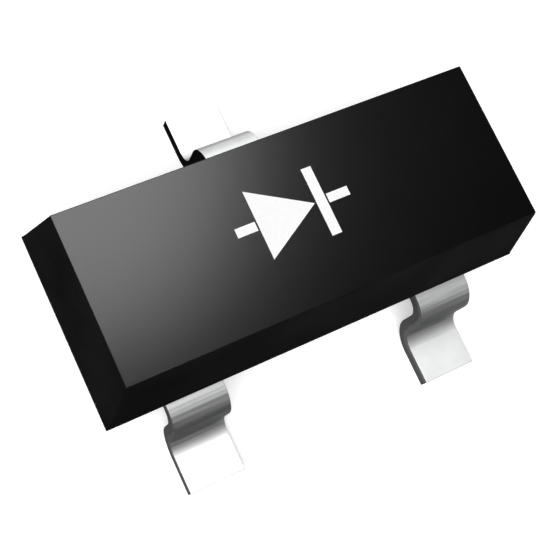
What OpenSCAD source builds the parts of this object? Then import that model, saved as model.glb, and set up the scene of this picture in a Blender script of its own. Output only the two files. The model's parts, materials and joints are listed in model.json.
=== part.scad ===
// Three-lead surface-mount protection diode: a chip with two diodes in a moulded case.
// The origin is the centre of the footprint, on the board. X runs along the case,
// +Y points to the side with the single lead and +Z away from the board. Millimetres.

/* [Case] */
// Length of the case at its parting line
case_l = 3.12; // [2.9:0.01:3.5]
// Width of the case at its parting line
case_w = 1.35; // [1.2:0.01:1.7]
// Height of the case above its parting line
upper_h = 0.65; // [0.45:0.01:0.9]
// Gap between the case and the board
standoff = 0.05; // [0.01:0.01:0.15]
// Lean of the two long walls, in degrees from upright
side_draft = 11; // [1:0.1:14]
// Lean of the two end walls, in degrees from upright
end_draft = 9.3; // [1:0.1:14]

/* [Leads] */
// Width of each lead
lead_w = 0.41; // [0.3:0.01:0.5]
// Thickness of the strip that the leads are stamped from
lead_t = 0.1; // [0.08:0.005:0.18]
// Distance from the middle of the case to each of the two outer leads
pitch = 0.95; // [0.85:0.01:1.05]
// Straight run of a lead between the case and its first bend
shoulder_l = 0.015; // [0.01:0.001:0.2]
// Inner radius of the first bend, at the shoulder
shoulder_r = 0.09; // [0.05:0.01:0.2]
// Height of the upright stretch between the two bends
leg_h = 0.145; // [0.02:0.005:0.4]
// Inner radius of the second bend, at the heel
heel_r = 0.11; // [0.05:0.01:0.2]
// Flat length of each foot, beyond the heel's bend
foot_l = 0.265; // [0.1:0.001:0.5]

/* [Lead frame inside the case] */
// Length of a lead's narrow neck, from the wall to its wide inner end
neck_l = 0.2; // [0.12:0.01:0.26]
// Radius of the round notches in both sides of a neck, which the resin grips
notch_r = 0.05; // [0.03:0.005:0.07]
// Length of the bond posts, along Y
post_l = 0.52; // [0.3:0.01:0.6]
// How far a bond post reaches from its lead's centre line towards the pad
post_in = 0.22; // [0.16:0.01:0.3]
// Resin between a bond post and the end wall
post_cover = 0.27; // [0.2:0.01:0.35]
// Gap between the pad and the bond posts
pad_gap = 0.18; // [0.12:0.01:0.25]
// Resin between the pad and the front wall
pad_cover = 0.3; // [0.2:0.01:0.36]
// Radius of the stamped corners
corner_r = 0.06; // [0.02:0.01:0.1]

/* [Chip] */
// Length of the chip, along X
chip_l = 0.6; // [0.45:0.01:0.66]
// Width of the chip, along Y
chip_w = 0.42; // [0.3:0.01:0.56]
// Thickness of the chip
chip_h = 0.14; // [0.08:0.01:0.2]
// Thickness of the layer under the chip
attach_t = 0.02; // [0.01:0.005:0.04]
// Width of the rim of that layer around the chip
attach_rim = 0.025; // [0.01:0.005:0.04]

/* [Bond wires] */
// Diameter of the wire
wire_d = 0.025; // [0.018:0.001:0.04]
// Diameter of the flattened ball on the chip
ball_d = 0.075; // [0.05:0.005:0.1]
// Height of the flattened ball
ball_h = 0.02; // [0.012:0.001:0.03]
// Distance between the two balls on the chip
ball_span = 0.32; // [0.2:0.01:0.34]
// Upright stretch of wire above its ball
rise = 0.06; // [0.02:0.005:0.1]
// Radius of the wire's bend over the chip
loop_r = 0.05; // [0.03:0.005:0.08]
// Length of the stitch on the bond post
stitch_l = 0.08; // [0.05:0.005:0.12]
// Width of the stitch
stitch_w = 0.045; // [0.04:0.001:0.07]
// Thickness of the stitch at its thin end
stitch_t = 0.008; // [0.004:0.001:0.012]

/* [Hidden] */
$fn = 48;

resin_colour = "#1b1b1d";
tin_colour = "#c8cacd";
silicon_colour = "#5d6672";
adhesive_colour = "#9a9a96";
gold_colour = "#d9a83c";

// Heights above the board
bend_z = lead_t + heel_r;
frame_z = bend_z + leg_h + shoulder_r;
parting_z = frame_z + lead_t;
top_z = parting_z + upper_h;
lower_h = parting_z - standoff;
chip_z = parting_z + attach_t;
chip_top = chip_z + chip_h;

// Distances from the middle of the case, along Y
wall_y = case_w / 2;
shoulder_y = wall_y + shoulder_l;
leg_y = shoulder_y + shoulder_r + lead_t;
heel_y = leg_y + heel_r;

// The wide inner ends of the leads
post_y = wall_y - neck_l - post_l;
post_x = case_l / 2 - post_cover;
pad_x = pitch - post_in - pad_gap;
pad_front = pad_cover - wall_y;
pad_back = wall_y - neck_l;
chip_y = (pad_front + pad_back) / 2;

// A wire's plan run, from its ball to its stitch, and its slope after the bend
ball_x = ball_span / 2;
stitch_y = -(wall_y - neck_l - post_l / 2);
run = norm([pitch - ball_x, stitch_y - chip_y]);
turn = atan2(stitch_y - chip_y, pitch - ball_x);
bend_top = chip_top + ball_h + rise;
wire_drop = bend_top - parting_z - wire_d / 2;
// To a hundredth of a degree, so that the bend and the straight stretch meet exactly
slope = round(100 * (atan2(wire_drop, run - loop_r) + asin(loop_r / norm([run - loop_r, wire_drop])))) / 100;
straight = sqrt(pow(run - loop_r, 2) + pow(wire_drop, 2) - pow(loop_r, 2));

// The case's section: two drafted halves that meet at the parting line
module drafted(width, draft) {
    top_in = upper_h * tan(draft);
    low_in = lower_h * tan(draft);
    half = width / 2;
    polygon([
        [-half, parting_z],
        [low_in - half, standoff],
        [half - low_in, standoff],
        [half, parting_z],
        [half - top_in, top_z],
        [top_in - half, top_z]
    ]);
}

module case_blank() {
    intersection() {
        rotate([90, 0, 0]) linear_extrude(2 * case_w, center = true) drafted(case_l, end_draft);
        rotate([90, 0, 90]) linear_extrude(2 * case_l, center = true) drafted(case_w, side_draft);
    }
}

module quarter_ring(inner_r) {
    intersection() {
        difference() {
            circle(inner_r + lead_t);
            circle(inner_r);
        }
        square(inner_r + lead_t);
    }
}

// Side view of a lead outside the case. Its neck runs into the wide end as far as the stamped
// corners are round, so that their arcs end on its sides.
module gull_wing() {
    neck_y = wall_y - neck_l - corner_r;
    translate([neck_y, frame_z]) square([shoulder_y - neck_y, lead_t]);
    translate([shoulder_y, frame_z - shoulder_r]) quarter_ring(shoulder_r);
    translate([leg_y - lead_t, bend_z]) square([lead_t, leg_h]);
    translate([heel_y, bend_z]) rotate(180) quarter_ring(heel_r);
    translate([heel_y, 0]) square([foot_l, lead_t]);
}

module rounded_plate(size_x, size_y) {
    square([size_x, size_y - 2 * corner_r], center = true);
    square([size_x - 2 * corner_r, size_y], center = true);
    for (sx = [-1, 1], sy = [-1, 1])
        translate([sx * (size_x / 2 - corner_r), sy * (size_y / 2 - corner_r)]) circle(corner_r);
}

// A lead at the back of the case, on the centre line, with its wide inner end given in plan
module lead() {
    difference() {
        union() {
            rotate([90, 0, 90]) linear_extrude(lead_w, center = true) gull_wing();
            translate([0, 0, frame_z]) linear_extrude(lead_t) children();
        }
        for (side = [-1, 1])
            translate([side * lead_w / 2, wall_y - neck_l / 2, frame_z - lead_t])
                cylinder(r = notch_r, h = 3 * lead_t);
    }
}

module common_lead() {
    color(tin_colour) lead()
        translate([0, chip_y]) rounded_plate(2 * pad_x, pad_back - pad_front);
}

// The right lead, turned to the front of the case
module right_lead() {
    inner = pitch - post_in;
    color(tin_colour) translate([pitch, 0, 0]) rotate([0, 0, 180]) lead()
        translate([pitch - (inner + post_x) / 2, post_y + post_l / 2])
            rounded_plate(post_x - inner, post_l);
}

module left_lead() {
    mirror([1, 0, 0]) right_lead();
}

module chip_attach() {
    color(adhesive_colour) translate([0, chip_y, parting_z])
        linear_extrude(attach_t) square([chip_l + 2 * attach_rim, chip_w + 2 * attach_rim], center = true);
}

module chip() {
    color(silicon_colour) translate([0, chip_y, chip_z])
        linear_extrude(chip_h) square([chip_l, chip_w], center = true);
}

// Wedge that the tool leaves where it presses the wire onto the post
module stitch() {
    rotate([90, 0, 0]) linear_extrude(stitch_w, center = true) polygon([
        [-stitch_l / 2, 0],
        [stitch_l / 2, 0],
        [stitch_l / 2, stitch_t],
        [0, wire_d],
        [-stitch_l / 4, wire_d]
    ]);
}

module right_wire() {
    color(gold_colour) translate([ball_x, chip_y, 0]) rotate([0, 0, turn]) {
        translate([0, 0, chip_top]) cylinder(d = ball_d, h = ball_h);
        translate([0, 0, chip_top]) cylinder(d = wire_d, h = ball_h + rise);
        translate([loop_r, 0, bend_top]) {
            rotate([90, 0, 0]) rotate([0, 0, 90 - slope])
                rotate_extrude(angle = 90 + slope) translate([loop_r, 0]) circle(d = wire_d);
            rotate([0, slope, 0]) translate([0, 0, loop_r]) rotate([0, 90, 0])
                cylinder(d = wire_d, h = straight);
        }
        translate([run, 0, parting_z]) stitch();
    }
}

module left_wire() {
    mirror([1, 0, 0]) right_wire();
}

// The resin fills all that the inner pieces leave
module case() {
    color(resin_colour) difference() {
        case_blank();
        left_lead();
        right_lead();
        common_lead();
        chip_attach();
        chip();
        left_wire();
        right_wire();
    }
}

case();
left_lead();
right_lead();
common_lead();
chip();
chip_attach();
left_wire();
right_wire();
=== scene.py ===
import json
import math

import bmesh
import bpy
from mathutils import Matrix, Vector


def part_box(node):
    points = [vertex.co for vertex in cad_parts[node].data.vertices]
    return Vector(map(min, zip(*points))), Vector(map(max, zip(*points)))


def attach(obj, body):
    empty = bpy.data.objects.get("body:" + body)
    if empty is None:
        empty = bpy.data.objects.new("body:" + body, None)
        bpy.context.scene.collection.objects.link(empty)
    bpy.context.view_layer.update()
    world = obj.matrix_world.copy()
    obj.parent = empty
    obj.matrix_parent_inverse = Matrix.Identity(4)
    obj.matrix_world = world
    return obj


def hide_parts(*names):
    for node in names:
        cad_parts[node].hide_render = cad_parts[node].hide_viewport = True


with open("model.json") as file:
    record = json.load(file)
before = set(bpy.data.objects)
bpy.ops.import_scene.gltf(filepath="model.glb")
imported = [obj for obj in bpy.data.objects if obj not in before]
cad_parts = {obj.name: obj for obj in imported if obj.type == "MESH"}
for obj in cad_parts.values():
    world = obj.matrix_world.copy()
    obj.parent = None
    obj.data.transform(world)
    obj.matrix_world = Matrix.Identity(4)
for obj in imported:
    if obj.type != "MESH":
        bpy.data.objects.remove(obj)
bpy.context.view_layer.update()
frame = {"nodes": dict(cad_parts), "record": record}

# Pieces are modelled with 1 unit = 1 mm and shrunk to metres once they are finished,
# because the operators' own tolerances are too coarse for a part 3 mm long.
mm = 0.001
tiny = 1e-4  # mm, for comparing places
mergeWithin = 1e-5  # mm between points that become one
facesAxis = 0.9  # a face looks along an axis if its normal has more than this of it
smoothAngle = 32  # degrees between two faces below which they are shaded as one
sharpAngle = 69  # degrees between two faces above which their edge counts as sharp


def boxMm(node):
    low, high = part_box(node)
    return low / mm, high / mm


def mountPlace(name):
    mount = next(m for m in frame["record"]["mounts"] if m["name"] == name)
    return Vector(mount["pos_m"]) / mm


# Helpers for modelling

def deselectAll():
    if bpy.context.object and bpy.context.object.mode != "OBJECT":
        bpy.ops.object.mode_set(mode="OBJECT")
    bpy.ops.object.select_all(action="DESELECT")


def nameNew(name):
    piece = bpy.context.object
    piece.name = name
    piece.data.name = name
    bpy.ops.object.transform_apply(location=True, rotation=True, scale=True)
    return piece


def boxPiece(name, low, high):
    centre = [(a + b) / 2 for a, b in zip(low, high)]
    size = [b - a for a, b in zip(low, high)]
    deselectAll()
    bpy.ops.mesh.primitive_cube_add(size=1, location=centre, scale=size)
    return nameNew(name)


def useOnly(piece):
    deselectAll()
    piece.select_set(True)
    bpy.context.view_layer.objects.active = piece


def editMode(piece):
    useOnly(piece)
    bpy.ops.object.mode_set(mode="EDIT")


def objectMode():
    bpy.ops.object.mode_set(mode="OBJECT")


def pick(piece, kind, test):
    modes = {"verts": "VERT", "edges": "EDGE", "faces": "FACE"}
    bpy.ops.mesh.select_mode(type=modes[kind])
    bpy.ops.mesh.select_all(action="DESELECT")
    mesh = bmesh.from_edit_mesh(piece.data)
    mesh.normal_update()
    found = [item for item in getattr(mesh, kind) if test(item)]
    for item in found:
        item.select_set(True)
    mesh.select_flush_mode()
    bmesh.update_edit_mesh(piece.data)
    if not found:
        raise RuntimeError(f"nothing picked on {piece.name}")


def extrudeBy(x, y, z):
    bpy.ops.mesh.extrude_region_move(TRANSFORM_OT_translate={"value": (x, y, z)})


def turnFacesOut():
    bpy.ops.mesh.select_all(action="SELECT")
    bpy.ops.mesh.normals_make_consistent(inside=False)


def combine(piece, other, operation, keepMaterials=False):
    useOnly(piece)
    modifier = piece.modifiers.new("combine", "BOOLEAN")
    modifier.operation = operation
    modifier.solver = "EXACT"
    modifier.object = other
    if keepMaterials:
        modifier.material_mode = "TRANSFER"
    bpy.ops.object.modifier_apply(modifier="combine")
    bpy.data.objects.remove(other)


def smooth(piece):
    useOnly(piece)
    bpy.ops.object.shade_smooth_by_angle(angle=math.radians(smoothAngle))
    modifier = piece.modifiers.new("normals", "WEIGHTED_NORMAL")
    modifier.keep_sharp = True
    bpy.ops.object.modifier_apply(modifier="normals")


def finishPiece(piece, body, node):
    smooth(piece)
    piece.scale = (mm, mm, mm)
    bpy.ops.object.transform_apply(location=False, rotation=False, scale=True)
    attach(piece, body)
    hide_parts(node)


# Helpers for materials

noiseSpan = (0.3, 0.7)  # most values of a noise texture lie between these
grainRough = 0.6  # how strongly the finest detail of a grain shows
wavePeriod = math.tau / 20  # of a wave texture at scale 1


def newMaterial(name):
    material = bpy.data.materials.new(name)
    material.use_nodes = True
    return material, material.node_tree


def addNode(tree, kind, **values):
    node = tree.nodes.new(kind)
    for key, value in values.items():
        if key in node.inputs:
            node.inputs[key].default_value = value
        else:
            setattr(node, key, value)
    return node


def surfaceCoords(tree, stretch=(1, 1, 1), shift=(0, 0, 0)):
    coords = addNode(tree, "ShaderNodeTexCoord")
    mapping = addNode(tree, "ShaderNodeMapping", Scale=stretch, Location=shift)
    tree.links.new(coords.outputs["Object"], mapping.inputs["Vector"])
    return mapping.outputs["Vector"]


def attributeValue(tree, name):
    return addNode(tree, "ShaderNodeAttribute", attribute_name=name).outputs["Fac"]


def noise(tree, vector, size, detail=3, rough=0.5):
    node = addNode(tree, "ShaderNodeTexNoise", Scale=1 / (size * mm), Detail=detail, Roughness=rough)
    tree.links.new(vector, node.inputs["Vector"])
    return node.outputs["Fac"]


def remap(tree, value, low, high, span=noiseSpan):
    node = addNode(tree, "ShaderNodeMapRange")
    node.inputs["From Min"].default_value, node.inputs["From Max"].default_value = span
    node.inputs["To Min"].default_value = low
    node.inputs["To Max"].default_value = high
    tree.links.new(value, node.inputs["Value"])
    return node.outputs["Result"]


def blendColours(tree, factor, first, second):
    node = addNode(tree, "ShaderNodeMix", data_type="RGBA")
    tree.links.new(factor, node.inputs["Factor"])
    for socket, colour in (("A", first), ("B", second)):
        target = next(s for s in node.inputs if s.name == socket and s.type == "RGBA")
        if hasattr(colour, "links"):
            tree.links.new(colour, target)
        else:
            target.default_value = (*colour, 1)
    return next(s for s in node.outputs if s.type == "RGBA")


def calculate(tree, operation, first, second):
    node = addNode(tree, "ShaderNodeMath", operation=operation)
    tree.links.new(first, node.inputs[0])
    tree.links.new(second, node.inputs[1])
    return node.outputs[0]


def addBump(tree, height, bump, below=None):
    strength, depth = bump
    node = addNode(tree, "ShaderNodeBump", Strength=strength, Distance=depth * mm)
    tree.links.new(height, node.inputs["Height"])
    if below is not None:
        tree.links.new(below, node.inputs["Normal"])
    return node.outputs["Normal"]


# Materials

resinLook = {
    "dark": (0.0012, 0.0012, 0.0013),
    "pale": (0.002, 0.002, 0.0021),
    "rough": (0.2, 0.225),  # lowest and highest
    "specular": 0.127,
    "metallic": 0,
    "grazing": (1, 1, 1),  # tint of what it mirrors at a flat angle
    "grain": 0.012,  # size of the filler grains, mm
    "cloud": 0.5,  # size of the faint patches, mm
    "grainBump": (0.5, 0.0004),  # strength, and depth in mm
}

wallLook = {
    **resinLook,
    "dark": (0.014, 0.014, 0.0145),
    "pale": (0.022, 0.022, 0.0225),
    "metallic": 1,  # with the dark tint below, the rough walls mirror nothing at a flat angle
    "grazing": (0, 0, 0),
    "rough": (0.6, 0.72),
    "grain": 0.02,
    "grainBump": (0.5, 0.002),
}


def makeResin(name, look):
    material, tree = newMaterial(name)
    shader = tree.nodes["Principled BSDF"]
    coords = surfaceCoords(tree)
    clouds = noise(tree, coords, look["cloud"])
    grain = noise(tree, coords, look["grain"], rough=grainRough)
    colour = blendColours(tree, remap(tree, clouds, 0, 1), look["dark"], look["pale"])
    tree.links.new(colour, shader.inputs["Base Color"])
    tree.links.new(remap(tree, grain, *look["rough"]), shader.inputs["Roughness"])
    tree.links.new(addBump(tree, grain, look["grainBump"]), shader.inputs["Normal"])
    shader.inputs["Specular IOR Level"].default_value = look["specular"]
    shader.inputs["Metallic"].default_value = look["metallic"]
    shader.inputs["Specular Tint"].default_value = (*look["grazing"], 1)
    return material


markLook = {
    "colour": (0.97, 0.97, 0.97),
    "shade": (0.93, 0.93, 0.93),
    "grain": 0.02,  # mm
    "line": 0.03,  # spacing of the laser's passes, mm
    "lineBump": (0.2, 0.001),
    "rough": 0.8,
    "specular": 0.1,
}


def makeMark():
    material, tree = newMaterial("laserMark")
    shader = tree.nodes["Principled BSDF"]
    coords = surfaceCoords(tree)
    grain = noise(tree, coords, markLook["grain"])
    scale = wavePeriod / (markLook["line"] * mm)
    passes = addNode(tree, "ShaderNodeTexWave", Scale=scale, bands_direction="Y")
    tree.links.new(coords, passes.inputs["Vector"])
    colour = blendColours(tree, remap(tree, grain, 0, 1), markLook["colour"], markLook["shade"])
    tree.links.new(colour, shader.inputs["Base Color"])
    lines = addBump(tree, passes.outputs["Fac"], markLook["lineBump"])
    tree.links.new(lines, shader.inputs["Normal"])
    shader.inputs["Roughness"].default_value = markLook["rough"]
    shader.inputs["Specular IOR Level"].default_value = markLook["specular"]
    return material


tinLook = {
    "bright": (0.505, 0.5075, 0.512),
    "dull": (0.461, 0.464, 0.468),
    "bendShadeBright": (0.256, 0.258, 0.261),  # painted shade on the bends: the tin darkens the further the strip is bent over
    "bendShadeDull": (0.208, 0.21, 0.213),
    "grazing": (1, 1, 1),  # tint of what it mirrors at a flat angle
    # painted shade: on the bends the tin also mirrors less at a flat angle
    "bendShadeGrazing": (0.29, 0.29, 0.29),
    "metallic": 0.91,
    "rough": (0.453, 0.533),
    "patch": 0.15,  # size of the paler and darker patches, mm
    "crystal": 0.012,  # size of the plating's grains, mm
    "crystalBump": (0.15, 0.0006),
    "rolled": 0.02,  # spacing of the rolled lines along the strip, mm
    "rolledStretch": 0.04,  # the smaller, the longer the lines
    "rolledBump": (0.15, 0.001),
    "dieMarksAndShade": 0.022,  # spacing of the die marks across the bends, mm; they also carry painted shade in bands
    "drawnStretch": 0.015,  # the smaller, the longer the marks
    "drawnShift": 0.073,  # moves those marks over the strip, mm
    "drawnBump": (0.4, 0.002),
    "streakShade": 0.36,  # how far they darken the tin, as painted shade in bands across the bends
    "streakSpan": (0.4, 0.6),  # noise values between which a mark goes from none to full
    "streakStart": 0.05,  # amount of painted bend shade from which the marks show in full
    "streakFade": (0.6, 0.3),  # amount of painted bend shade from which they fade, and what stays of them on the leg
}


def makeTin(name):
    material, tree = newMaterial(name)
    shader = tree.nodes["Principled BSDF"]
    coords = surfaceCoords(tree)
    patches = noise(tree, coords, tinLook["patch"])
    crystals = noise(tree, coords, tinLook["crystal"], rough=grainRough)
    along = surfaceCoords(tree, (1, tinLook["rolledStretch"], tinLook["rolledStretch"]))
    rolled = noise(tree, along, tinLook["rolled"], detail=2)
    across = surfaceCoords(tree, (tinLook["drawnStretch"], 1, 1), (0, tinLook["drawnShift"] * mm, 0))
    dieMarksAndShade = noise(tree, across, tinLook["dieMarksAndShade"], detail=2)
    formed = attributeValue(tree, "formed")

    flat = blendColours(tree, remap(tree, patches, 0, 1), tinLook["bright"], tinLook["dull"])
    bendShaded = blendColours(tree, remap(tree, dieMarksAndShade, 0, 1), tinLook["bendShadeBright"], tinLook["bendShadeDull"])
    # Painted shade: on the bends the tin blends into the darker colours, the more the further it is bent
    colour = blendColours(tree, formed, flat, bendShaded)
    fadeFrom, remaining = tinLook["streakFade"]
    # Painted shade: across the bends the die marks darken the colour in bands
    starting = remap(tree, formed, 0, tinLook["streakShade"], (0, tinLook["streakStart"]))
    onBend = calculate(tree, "MULTIPLY", starting, remap(tree, formed, 1, remaining, (fadeFrom, 1)))
    marks = remap(tree, dieMarksAndShade, 0, 1, tinLook["streakSpan"])
    colour = blendColours(tree, calculate(tree, "MULTIPLY", marks, onBend), colour, (0, 0, 0))
    tree.links.new(colour, shader.inputs["Base Color"])
    # Painted shade: the bends mirror less at a flat angle too
    tint = blendColours(tree, formed, tinLook["grazing"], tinLook["bendShadeGrazing"])
    tree.links.new(tint, shader.inputs["Specular Tint"])
    tree.links.new(remap(tree, crystals, *tinLook["rough"]), shader.inputs["Roughness"])
    shader.inputs["Metallic"].default_value = tinLook["metallic"]

    lines = addBump(tree, rolled, tinLook["rolledBump"])
    lines = addBump(tree, calculate(tree, "MULTIPLY", dieMarksAndShade, formed), tinLook["drawnBump"], lines)
    tree.links.new(addBump(tree, crystals, tinLook["crystalBump"], lines), shader.inputs["Normal"])
    return material


shearAndShadeLook = {
    # Painted shade: these colours make the sheared sides far darker than the tin on the flats, and the
    # low grazing tint makes them mirror little
    "smooth": (0.15, 0.15, 0.152),  # where the punch slid along the metal
    "smoothShade": (0.12, 0.12, 0.121),
    "torn": (0.125, 0.125, 0.126),  # where the metal then tore off
    "tornShade": (0.09, 0.09, 0.091),
    "share": 0.36,  # how much of the thickness is smooth
    "blur": 0.04,  # how soft the line between the two is
    "wave": 0.06,  # size of the waves in that line, mm
    "waveReach": 0.12,  # how far they go up and down, as a share of the thickness
    "grain": 0.012,  # mm
    "grainBump": (0.15, 0.0006),
    "tornBump": (0.3, 0.002),
    "grazing": (0.3, 0.3, 0.3),
    "roughSmooth": 0.48,
    "roughTorn": 0.66,
}

# Painted shade: the single lead's sheared sides, painted near black
commonSideShadeLook = {
    **shearAndShadeLook,
    "smooth": (0.02, 0.02, 0.0202),
    "smoothShade": (0.016, 0.016, 0.0162),
    "torn": (0.017, 0.017, 0.0172),
    "tornShade": (0.012, 0.012, 0.0122),
    "grazing": (0.1, 0.1, 0.1),
}

tipLook = {
    **shearAndShadeLook,
    "smooth": (0.52, 0.5, 0.48),  # tin that the punch drew down over the cut
    "smoothShade": (0.46, 0.43, 0.4),
    "torn": (0.5, 0.36, 0.27),  # bare copper alloy
    "tornShade": (0.36, 0.25, 0.19),
    "share": 0.3,
    "grazing": (1, 1, 1),
    "roughSmooth": 0.42,
    "roughTorn": 0.58,
}


def makeCut(name, look):
    material, tree = newMaterial(name)
    shader = tree.nodes["Principled BSDF"]
    coords = surfaceCoords(tree)
    grain = noise(tree, coords, look["grain"], rough=grainRough)
    wave = remap(tree, noise(tree, coords, look["wave"]), -look["waveReach"], look["waveReach"])
    depth = calculate(tree, "ADD", attributeValue(tree, "depth"), wave)
    torn = remap(tree, depth, 0, 1, (look["share"] - look["blur"], look["share"] + look["blur"]))

    shades = remap(tree, grain, 0, 1)
    slid = blendColours(tree, shades, look["smooth"], look["smoothShade"])
    broken = blendColours(tree, shades, look["torn"], look["tornShade"])
    tree.links.new(blendColours(tree, torn, slid, broken), shader.inputs["Base Color"])
    rough = remap(tree, torn, look["roughSmooth"], look["roughTorn"], (0, 1))
    tree.links.new(rough, shader.inputs["Roughness"])
    fine = addBump(tree, grain, look["grainBump"])
    coarse = addBump(tree, calculate(tree, "MULTIPLY", grain, torn), look["tornBump"], fine)
    tree.links.new(coarse, shader.inputs["Normal"])
    shader.inputs["Specular Tint"].default_value = (*look["grazing"], 1)
    shader.inputs["Metallic"].default_value = 1
    return material


resinTop = makeResin("resinTop", resinLook)
resinWall = makeResin("resinWall", wallLook)
laserMark = makeMark()
tinPlate = makeTin("tinPlate")
shearedTin = makeCut("shearedTin", shearAndShadeLook)
darkSheared = makeCut("darkSheared", commonSideShadeLook)
cutTip = makeCut("cutTip", tipLook)
print("materials made")


# The moulded case, with its mark

caseShape = {
    "sideDraft": 11.0,  # degrees
    "endDraft": 9.3,
    "edgeRound": 0.005,  # round on the rims of the top and the bottom, mm
    "edgeSteps": 3,
    "cornerRound": 0.008,  # round on the upright edges
    "cornerSteps": 4,
    "flashHeight": 0.006,  # thin line of resin squeezed out between the mould halves
    "flashOut": 0.003,
}


def drawIn(piece, test, height, length, width):
    sides = 2 * height * math.tan(math.radians(caseShape["sideDraft"]))
    ends = 2 * height * math.tan(math.radians(caseShape["endDraft"]))
    pick(piece, "verts", test)
    scale = ((length - ends) / length, (width - sides) / width, 1)
    bpy.ops.transform.resize(value=scale, center_override=(0, 0, 0))


def makeCase():
    low, high = boxMm("case")
    parting = boxMm("left_lead")[1].z
    size = high - low
    band = caseShape["flashHeight"]
    case = boxPiece("caseShell", low, high)
    editMode(case)
    bpy.ops.mesh.select_all(action="SELECT")
    bpy.ops.mesh.bisect(plane_co=(0, 0, parting), plane_no=(0, 0, 1))
    drawIn(case, lambda v: v.co.z > parting + tiny, high.z - parting, size.x, size.y)
    drawIn(case, lambda v: v.co.z < parting - tiny, parting - low.z, size.x, size.y)

    def onParting(edge):
        return all(abs(v.co.z - parting) < tiny for v in edge.verts)

    def upright(edge):
        a, b = edge.verts
        return abs(a.co.z - b.co.z) > 2 * band

    def onRim(edge):
        heights = [v.co.z for v in edge.verts]
        return min(heights) > high.z - tiny or max(heights) < low.z + tiny

    pick(case, "edges", onParting)
    bpy.ops.mesh.bevel(offset=band / 2, segments=1, affect="EDGES")
    pick(case, "edges", upright)
    bpy.ops.mesh.bevel(offset=caseShape["cornerRound"], segments=caseShape["cornerSteps"], affect="EDGES")
    pick(case, "edges", onRim)
    bpy.ops.mesh.bevel(offset=caseShape["edgeRound"], segments=caseShape["edgeSteps"], affect="EDGES")
    pick(case, "faces", lambda f: all(abs(v.co.z - parting) < band for v in f.verts))
    bpy.ops.mesh.extrude_region_shrink_fatten(TRANSFORM_OT_shrink_fatten={"value": caseShape["flashOut"]})
    objectMode()
    case.data.materials.append(resinWall)
    case.data.materials.append(resinTop)
    for face in case.data.polygons:
        face.material_index = 1 if face.normal.z > facesAxis else 0
    return case


markShape = {
    "centre": (-0.12, 0.045),
    "triangle": 0.46,  # side of the triangle, mm
    "bar": 0.07,  # width of the bar
    "line": 0.06,  # width of the two short lines
    "lineReach": 0.15,  # their length
    "gap": 0.012,  # between the triangle, the bar and the lines
    "depth": 0.002,
}


def cutMark(case):
    x, y = markShape["centre"]
    side, bar = markShape["triangle"], markShape["bar"]
    line, reach, gap = markShape["line"] / 2, markShape["lineReach"], markShape["gap"]
    high = side * math.sqrt(3) / 2
    left, right = x - high / 2, x + high / 2
    barEnd = right + gap + bar
    # The cutters stand through the top face, from the mark's floor upwards
    floor = boxMm("case")[1].z - markShape["depth"]
    above = floor + 4 * markShape["depth"]

    deselectAll()
    bpy.ops.mesh.primitive_cylinder_add(
        vertices=3, radius=side / math.sqrt(3), depth=above - floor,
        location=(left + high / 3, y, (floor + above) / 2), rotation=(0, 0, -math.pi / 2),
    )
    cutters = [
        nameNew("markTriangle"),
        boxPiece("markBar", (right + gap, y - side / 2, floor), (barEnd, y + side / 2, above)),
        boxPiece("markLineIn", (left - reach, y - line, floor), (left - gap, y + line, above)),
        boxPiece("markLineOut", (barEnd + gap, y - line, floor), (barEnd + gap + reach, y + line, above)),
    ]
    for cutter in cutters:
        cutter.data.materials.append(laserMark)
        combine(case, cutter, "DIFFERENCE", keepMaterials=True)


caseShell = makeCase()
cutMark(caseShell)
print("case made")


# The leads

leadShape = {
    "width": 0.41,  # mm
    "thick": 0.1,
    "shoulderRun": 0.015,  # straight run between the case and the first bend
    "shoulderRadius": 0.09,  # inner radius of the first bend
    "heelRadius": 0.11,  # inner radius of the second bend
    "bendSteps": 14,
    "neck": 0.2,  # length of the narrow neck behind the wall
    "notch": 0.05,  # radius of the notches in the neck, which the resin grips
    "notchSteps": 32,
    "plateCorner": 0.06,  # radius of the stamped corners
    "plateSteps": 6,
    "edgeRound": 0.003,  # round on the long edges and the tip, outside the case
    "edgeSteps": 3,
    "sideStarts": 0.3,  # share of X in a face's normal from which it counts as sheared side; most of each round on the long edges counts too, so painted shade covers its highlight
    "shoulderShadeAngles": (5.5, 55),  # degrees of bend between which painted shade darkens the tin from none to full
    "commonShadeAngles": (48, 90),  # the same on the single lead, whose bends get painted shade only from a larger bend
    "heelShadeAngles": (39, 80),
}


def makePlate(plateX, plateY, low, high):
    plate = boxPiece("plate", (plateX[0], plateY[0], low), (plateX[1], plateY[1], high))
    editMode(plate)
    pick(plate, "edges", lambda e: abs(e.verts[0].co.z - e.verts[1].co.z) > tiny)
    bpy.ops.mesh.bevel(offset=leadShape["plateCorner"], segments=leadShape["plateSteps"], affect="EDGES")
    objectMode()
    return plate


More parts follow.
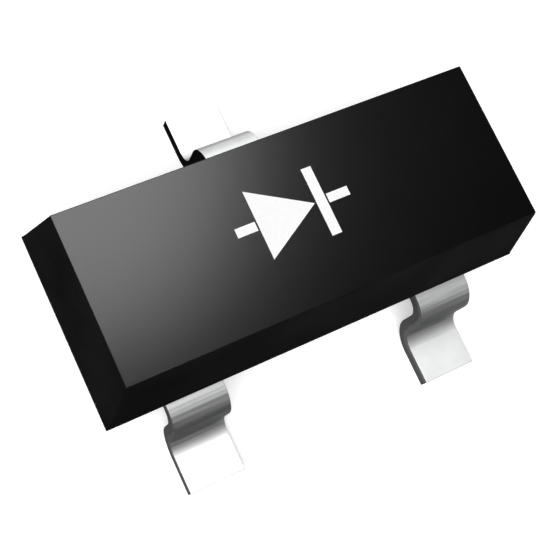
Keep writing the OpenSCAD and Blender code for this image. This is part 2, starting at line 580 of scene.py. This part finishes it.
def makeLead(name, plateX, plateY, tip, wall, top, shadedSide, shoulderShadeAngles):
    # Modelled at the back of the case with its own centre line at x = 0
    thick = leadShape["thick"]
    half = leadShape["width"] / 2
    steps = leadShape["bendSteps"]
    frameZ = top - thick
    neckY = plateY[1] - leadShape["plateCorner"]
    shoulderY = wall + leadShape["shoulderRun"]
    shoulderZ = frameZ - leadShape["shoulderRadius"]
    heelY = shoulderY + leadShape["shoulderRadius"] + thick + leadShape["heelRadius"]
    heelZ = thick + leadShape["heelRadius"]
    outside = wall - leadShape["edgeRound"]

    lead = boxPiece(name, (-half, neckY, frameZ), (half, shoulderY, top))
    editMode(lead)
    pick(lead, "faces", lambda f: f.normal.y > facesAxis)
    bpy.ops.mesh.spin(steps=steps, angle=math.pi / 2, center=(0, shoulderY, shoulderZ), axis=(1, 0, 0))
    extrudeBy(0, 0, heelZ - shoulderZ)
    bpy.ops.mesh.spin(steps=steps, angle=math.pi / 2, center=(0, heelY, heelZ), axis=(-1, 0, 0))
    extrudeBy(0, tip - heelY, 0)
    bpy.ops.mesh.select_all(action="SELECT")
    bpy.ops.mesh.bisect(plane_co=(0, outside, 0), plane_no=(0, 1, 0))
    bpy.ops.mesh.select_all(action="SELECT")
    bpy.ops.mesh.remove_doubles(threshold=mergeWithin)
    turnFacesOut()

    def outerEdge(edge):
        sharp = edge.calc_face_angle(0) > math.radians(sharpAngle)
        return sharp and min(v.co.y for v in edge.verts) > outside - tiny

    pick(lead, "edges", outerEdge)
    bpy.ops.mesh.bevel(offset=leadShape["edgeRound"], segments=leadShape["edgeSteps"], affect="EDGES")
    objectMode()

    combine(lead, makePlate(plateX, plateY, frameZ, top), "UNION")
    for side in (-1, 1):
        deselectAll()
        bpy.ops.mesh.primitive_cylinder_add(
            vertices=leadShape["notchSteps"], radius=leadShape["notch"], depth=3 * thick,
            location=(side * half, wall - leadShape["neck"] / 2, top - thick / 2),
        )
        combine(lead, nameNew("notchCutter"), "DIFFERENCE")
    lead.data.materials.clear()
    for material in (tinPlate, shadedSide, cutTip):
        lead.data.materials.append(material)
    for face in lead.data.polygons:
        face.material_index = 0
        if abs(face.normal.x) > leadShape["sideStarts"]:
            face.material_index = 1
        elif face.normal.y > facesAxis and face.center.y > tip - leadShape["edgeRound"]:
            face.material_index = 2
    paintBendShade(lead, (shoulderY, shoulderZ), (heelY, heelZ), shoulderShadeAngles)
    markDepth(lead, (shoulderY, shoulderZ), (heelY, heelZ), top)
    return lead


def paintBendShade(lead, shoulder, heel, shoulderShadeAngles):
    # Painted shade: how dark each point of the strip is painted, from 0 to 1, rising with its angle of
    # bend between the given limits
    amounts = lead.data.attributes.new("formed", "FLOAT", "POINT")
    for vertex, amount in zip(lead.data.vertices, amounts.data):
        _, y, z = vertex.co
        angle, shadeAngles = 0, shoulderShadeAngles
        if y > shoulder[0] and z > heel[1]:
            angle = math.atan2(y - shoulder[0], max(z - shoulder[1], 0))
        elif z <= heel[1] and y < heel[0]:
            angle, shadeAngles = math.atan2(heel[0] - y, max(heel[1] - z, 0)), leadShape["heelShadeAngles"]
        start, end = (math.radians(limit) for limit in shadeAngles)
        amount.value = min(max((angle - start) / (end - start), 0), 1)


def markDepth(lead, shoulder, heel, top):
    # How far each point lies below the strip's upper face, from 0 on it to 1 on the lower face
    thick, inner = leadShape["thick"], leadShape["heelRadius"]
    outer = leadShape["shoulderRadius"] + thick
    depths = lead.data.attributes.new("depth", "FLOAT", "POINT")
    for vertex, depth in zip(lead.data.vertices, depths.data):
        _, y, z = vertex.co
        if y <= shoulder[0]:
            below = top - z
        elif z > shoulder[1]:
            below = outer - math.hypot(y - shoulder[0], z - shoulder[1])
        elif z > heel[1]:
            below = shoulder[0] + outer - y
        elif y < heel[0]:
            below = math.hypot(heel[0] - y, heel[1] - z) - inner
        else:
            below = thick - z
        depth.value = min(max(below / thick, 0), 1)


def mirroredCopy(lead, name):
    useOnly(lead)
    bpy.ops.object.duplicate()
    bpy.context.object.scale.x = -1
    copy = nameNew(name)
    editMode(copy)
    turnFacesOut()
    objectMode()
    return copy


def makeLeads():
    wall = boxMm("case")[1].y
    low, high = boxMm("common_lead")
    top, tip, neckEnd = high.z, high.y, wall - leadShape["neck"]
    plate = (low.x, high.x), (low.y, neckEnd)
    common = makeLead("commonLead", *plate, tip, wall, top, darkSheared, leadShape["commonShadeAngles"])

    # The right lead is turned to the front of the case, and the left one is its mirror image
    low, high = boxMm("right_lead")
    pitch = mountPlace("right_foot").x
    plate = (pitch - high.x, pitch - low.x), (-high.y, neckEnd)
    right = makeLead("rightLead", *plate, tip, wall, top, shearedTin, leadShape["shoulderShadeAngles"])
    useOnly(right)
    right.rotation_euler = (0, 0, math.pi)
    right.location = (pitch, 0, 0)
    bpy.ops.object.transform_apply(location=True, rotation=True, scale=True)
    return common, right, mirroredCopy(right, "leftLead")


commonLead, rightLead, leftLead = makeLeads()
print("leads made")


# The pieces take their place on the frame, and the inner ones keep their solids

for piece, node, slot in (
    (caseShell, "case", "moulded_resin"),
    (commonLead, "common_lead", "tinned_lead"),
    (rightLead, "right_lead", "tinned_lead"),
    (leftLead, "left_lead", "tinned_lead"),
):
    finishPiece(piece, "root", node)

innerLooks = {
    "siliconChip": {
        "nodes": ("chip",),
        "colour": (0.3, 0.33, 0.38),
        "shade": (0.24, 0.27, 0.33),
        "rough": (0.15, 0.27),
        "metallic": 0.6,
        "grain": 0.04,  # mm
        "grainBump": (0.3, 0.004),
    },
    "silverAdhesive": {
        "nodes": ("chip_attach",),
        "colour": (0.5, 0.5, 0.48),
        "shade": (0.38, 0.38, 0.37),
        "rough": (0.5, 0.62),
        "metallic": 0.3,
        "grain": 0.01,
        "grainBump": (0.3, 0.001),
    },
    "goldWire": {
        "nodes": ("left_wire", "right_wire"),
        "colour": (0.9, 0.64, 0.24),
        "shade": (0.8, 0.55, 0.2),
        "rough": (0.2, 0.32),
        "metallic": 1,
        "grain": 0.01,
        "grainBump": (0.3, 0.001),
    },
}


def makeInner(name, look):
    material, tree = newMaterial(name)
    shader = tree.nodes["Principled BSDF"]
    grain = noise(tree, surfaceCoords(tree), look["grain"])
    mixed = blendColours(tree, remap(tree, grain, 0, 1), look["colour"], look["shade"])
    tree.links.new(mixed, shader.inputs["Base Color"])
    tree.links.new(remap(tree, grain, *look["rough"]), shader.inputs["Roughness"])
    tree.links.new(addBump(tree, grain, look["grainBump"]), shader.inputs["Normal"])
    shader.inputs["Metallic"].default_value = look["metallic"]
    return material


for name, look in innerLooks.items():
    material = makeInner(name, look)
    for node in look["nodes"]:
        mesh = frame["nodes"][node].data
        if mesh.materials:
            mesh.materials[0] = material
        else:
            mesh.materials.append(material)
print("inner pieces dressed")


# Floor, backdrop, lamps and camera

stageLook = {
    "floorSize": 300,  # mm
    "floorColour": 0.78,
    "floorRough": 0.9,
    "floorLift": 0.46,  # white added for the camera and for reflections
    "whiteFrom": 15,  # distances in mm between which the floor turns white like the wall
    "whiteTo": 40,
    "wallRadius": 140,
    "wallHeight": 80,
    "wallSides": 96,
    "ambient": 0.15,
}


def seenRays(tree):
    # 1 for rays from the camera, reflections and glass, 0 for rays that light other things
    path = addNode(tree, "ShaderNodeLightPath").outputs
    direct = calculate(tree, "MAXIMUM", path["Is Camera Ray"], path["Is Glossy Ray"])
    return calculate(tree, "MAXIMUM", direct, path["Is Transmission Ray"])


def mixShaders(tree, factor, first, second):
    mix = addNode(tree, "ShaderNodeMixShader")
    for socket, source in enumerate((factor, first, second)):
        tree.links.new(source, mix.inputs[socket])
    return mix.outputs[0]


def emission(tree, strength):
    return addNode(tree, "ShaderNodeEmission", Strength=strength).outputs[0]


def makeFloor():
    material, tree = newMaterial("paleFloor")
    shader = tree.nodes["Principled BSDF"]
    shader.inputs["Base Color"].default_value = (*[stageLook["floorColour"]] * 3, 1)
    shader.inputs["Roughness"].default_value = stageLook["floorRough"]
    shader.inputs["Specular IOR Level"].default_value = 0
    lit = addNode(tree, "ShaderNodeAddShader")
    tree.links.new(shader.outputs[0], lit.inputs[0])
    tree.links.new(emission(tree, stageLook["floorLift"]), lit.inputs[1])
    distance = addNode(tree, "ShaderNodeVectorMath", operation="LENGTH")
    tree.links.new(surfaceCoords(tree), distance.inputs[0])
    limits = stageLook["whiteFrom"] * mm, stageLook["whiteTo"] * mm
    far = remap(tree, distance.outputs["Value"], 0, 1, limits)
    seen = mixShaders(tree, far, lit.outputs[0], emission(tree, 1))
    surface = mixShaders(tree, seenRays(tree), shader.outputs[0], seen)
    tree.links.new(surface, tree.nodes["Material Output"].inputs["Surface"])
    deselectAll()
    bpy.ops.mesh.primitive_plane_add(size=stageLook["floorSize"] * mm, location=(0, 0, 0))
    floor = bpy.context.object
    floor.name = "floor"
    floor.data.materials.append(material)


def makeBackdrop():
    # A round white wall, so that views from low down have the same background
    material, tree = newMaterial("whiteBackdrop")
    surface = mixShaders(tree, seenRays(tree), emission(tree, stageLook["ambient"]), emission(tree, 1))
    tree.links.new(surface, tree.nodes["Material Output"].inputs["Surface"])
    high = stageLook["wallHeight"] * mm
    deselectAll()
    bpy.ops.mesh.primitive_cylinder_add(
        vertices=stageLook["wallSides"], radius=stageLook["wallRadius"] * mm, depth=high,
        end_fill_type="NOTHING", location=(0, 0, high / 2),
    )
    wall = bpy.context.object
    wall.name = "backdrop"
    wall.data.materials.append(material)


cardLook = {
    "place": (0.3, -1.455),  # mm, its middle
    "size": (6, 2.2),
    "low": 0.09,  # level at its foot, where 1 is white
    "highLeft": 0.51,  # levels at its top
    "highRight": 1.84,
}


def makeCard():
    # A graduated grey card close in front of the leads, which only reflections see
    wide, high = cardLook["size"]
    x, y = cardLook["place"]
    material, tree = newMaterial("greyCard")
    split = addNode(tree, "ShaderNodeSeparateXYZ")
    tree.links.new(surfaceCoords(tree), split.inputs[0])
    ends = (x - wide / 4) * mm, (x + wide / 4) * mm  # the top's level changes over the middle half
    top = remap(tree, split.outputs["X"], cardLook["highLeft"], cardLook["highRight"], ends)
    level = addNode(tree, "ShaderNodeMapRange")
    level.inputs["From Max"].default_value = high * mm
    level.inputs["To Min"].default_value = cardLook["low"]
    tree.links.new(split.outputs["Z"], level.inputs["Value"])
    tree.links.new(top, level.inputs["To Max"])
    grey = addNode(tree, "ShaderNodeEmission")
    tree.links.new(level.outputs["Result"], grey.inputs["Strength"])
    tree.links.new(grey.outputs[0], tree.nodes["Material Output"].inputs["Surface"])
    deselectAll()
    bpy.ops.mesh.primitive_plane_add(
        size=1, location=(x * mm, y * mm, high / 2 * mm), rotation=(math.pi / 2, 0, 0)
    )
    card = bpy.context.object
    card.name = "greyCard"
    card.scale = (wide * mm, high * mm, 1)
    bpy.ops.object.transform_apply(location=True, rotation=True, scale=True)
    card.data.materials.append(material)
    card.visible_camera = False
    card.visible_diffuse = False
    card.visible_shadow = False


def makeWorld():
    world = bpy.context.scene.world or bpy.data.worlds.new("studio")
    bpy.context.scene.world = world
    world.use_nodes = True
    background = world.node_tree.nodes["Background"]
    background.inputs["Color"].default_value = (1, 1, 1, 1)
    background.inputs["Strength"].default_value = stageLook["ambient"]


# Each lamp: the direction it stands in, its distance and size in mm, the brightness it gives
# a white surface that faces it, where 1 is white, and whether it lights more than reflections
lamps = {
    "keyPanel": {"from": (-0.35, -0.2, 0.92), "away": 80, "size": 60, "level": 1.05, "diffuse": True},
    "backPanel": {"from": (0.155, 0.329, 0.932), "away": 60, "size": 24, "level": 0.9, "diffuse": False},
    "lowPanel": {"from": (0.34, 0.8, 0.5), "away": 60, "size": 40, "level": 0.22, "diffuse": False},
}


def addToScene(name, data):
    item = bpy.data.objects.new(name, data)
    bpy.context.scene.collection.objects.link(item)
    return item


def makeLamps():
    for name, lamp in lamps.items():
        away = lamp["away"] * mm
        direction = Vector(lamp["from"]).normalized()
        data = bpy.data.lights.new(name, "AREA")
        data.shape = "DISK"
        data.size = lamp["size"] * mm
        data.energy = lamp["level"] * math.pi ** 2 * away ** 2
        light = addToScene(name, data)
        light.location = direction * away
        light.rotation_euler = direction.to_track_quat("Z", "Y").to_euler()
        light.visible_diffuse = lamp["diffuse"]


cameraView = {
    "place": (-2.4224, -1.1118, 6.7311),  # mm
    "aim": (-0.532, -0.2115, 0.6),
    "roll": 40.777,  # degrees
    "lens": 64.085,
    "sensor": 36,
    "shift": (0.1, 0.037),
    "clip": (0.0001, 10),  # metres
}


def makeCamera():
    data = bpy.data.cameras.new("camera")
    camera = addToScene("camera", data)
    place = Vector(cameraView["place"])
    look = Vector(cameraView["aim"]) - place
    roll = Matrix.Rotation(math.radians(cameraView["roll"]), 3, "Z")
    turn = look.to_track_quat("-Z", "Y").to_matrix() @ roll
    camera.location = place * mm
    camera.rotation_euler = turn.to_euler()
    data.sensor_width = cameraView["sensor"]
    data.lens = cameraView["lens"]
    data.shift_x, data.shift_y = cameraView["shift"]
    data.clip_start, data.clip_end = cameraView["clip"]
    bpy.context.scene.camera = camera


makeFloor()
makeBackdrop()
makeCard()
makeWorld()
makeLamps()
makeCamera()
bpy.context.scene.view_settings.view_transform = "Standard"
print("stage, lamps and camera made")
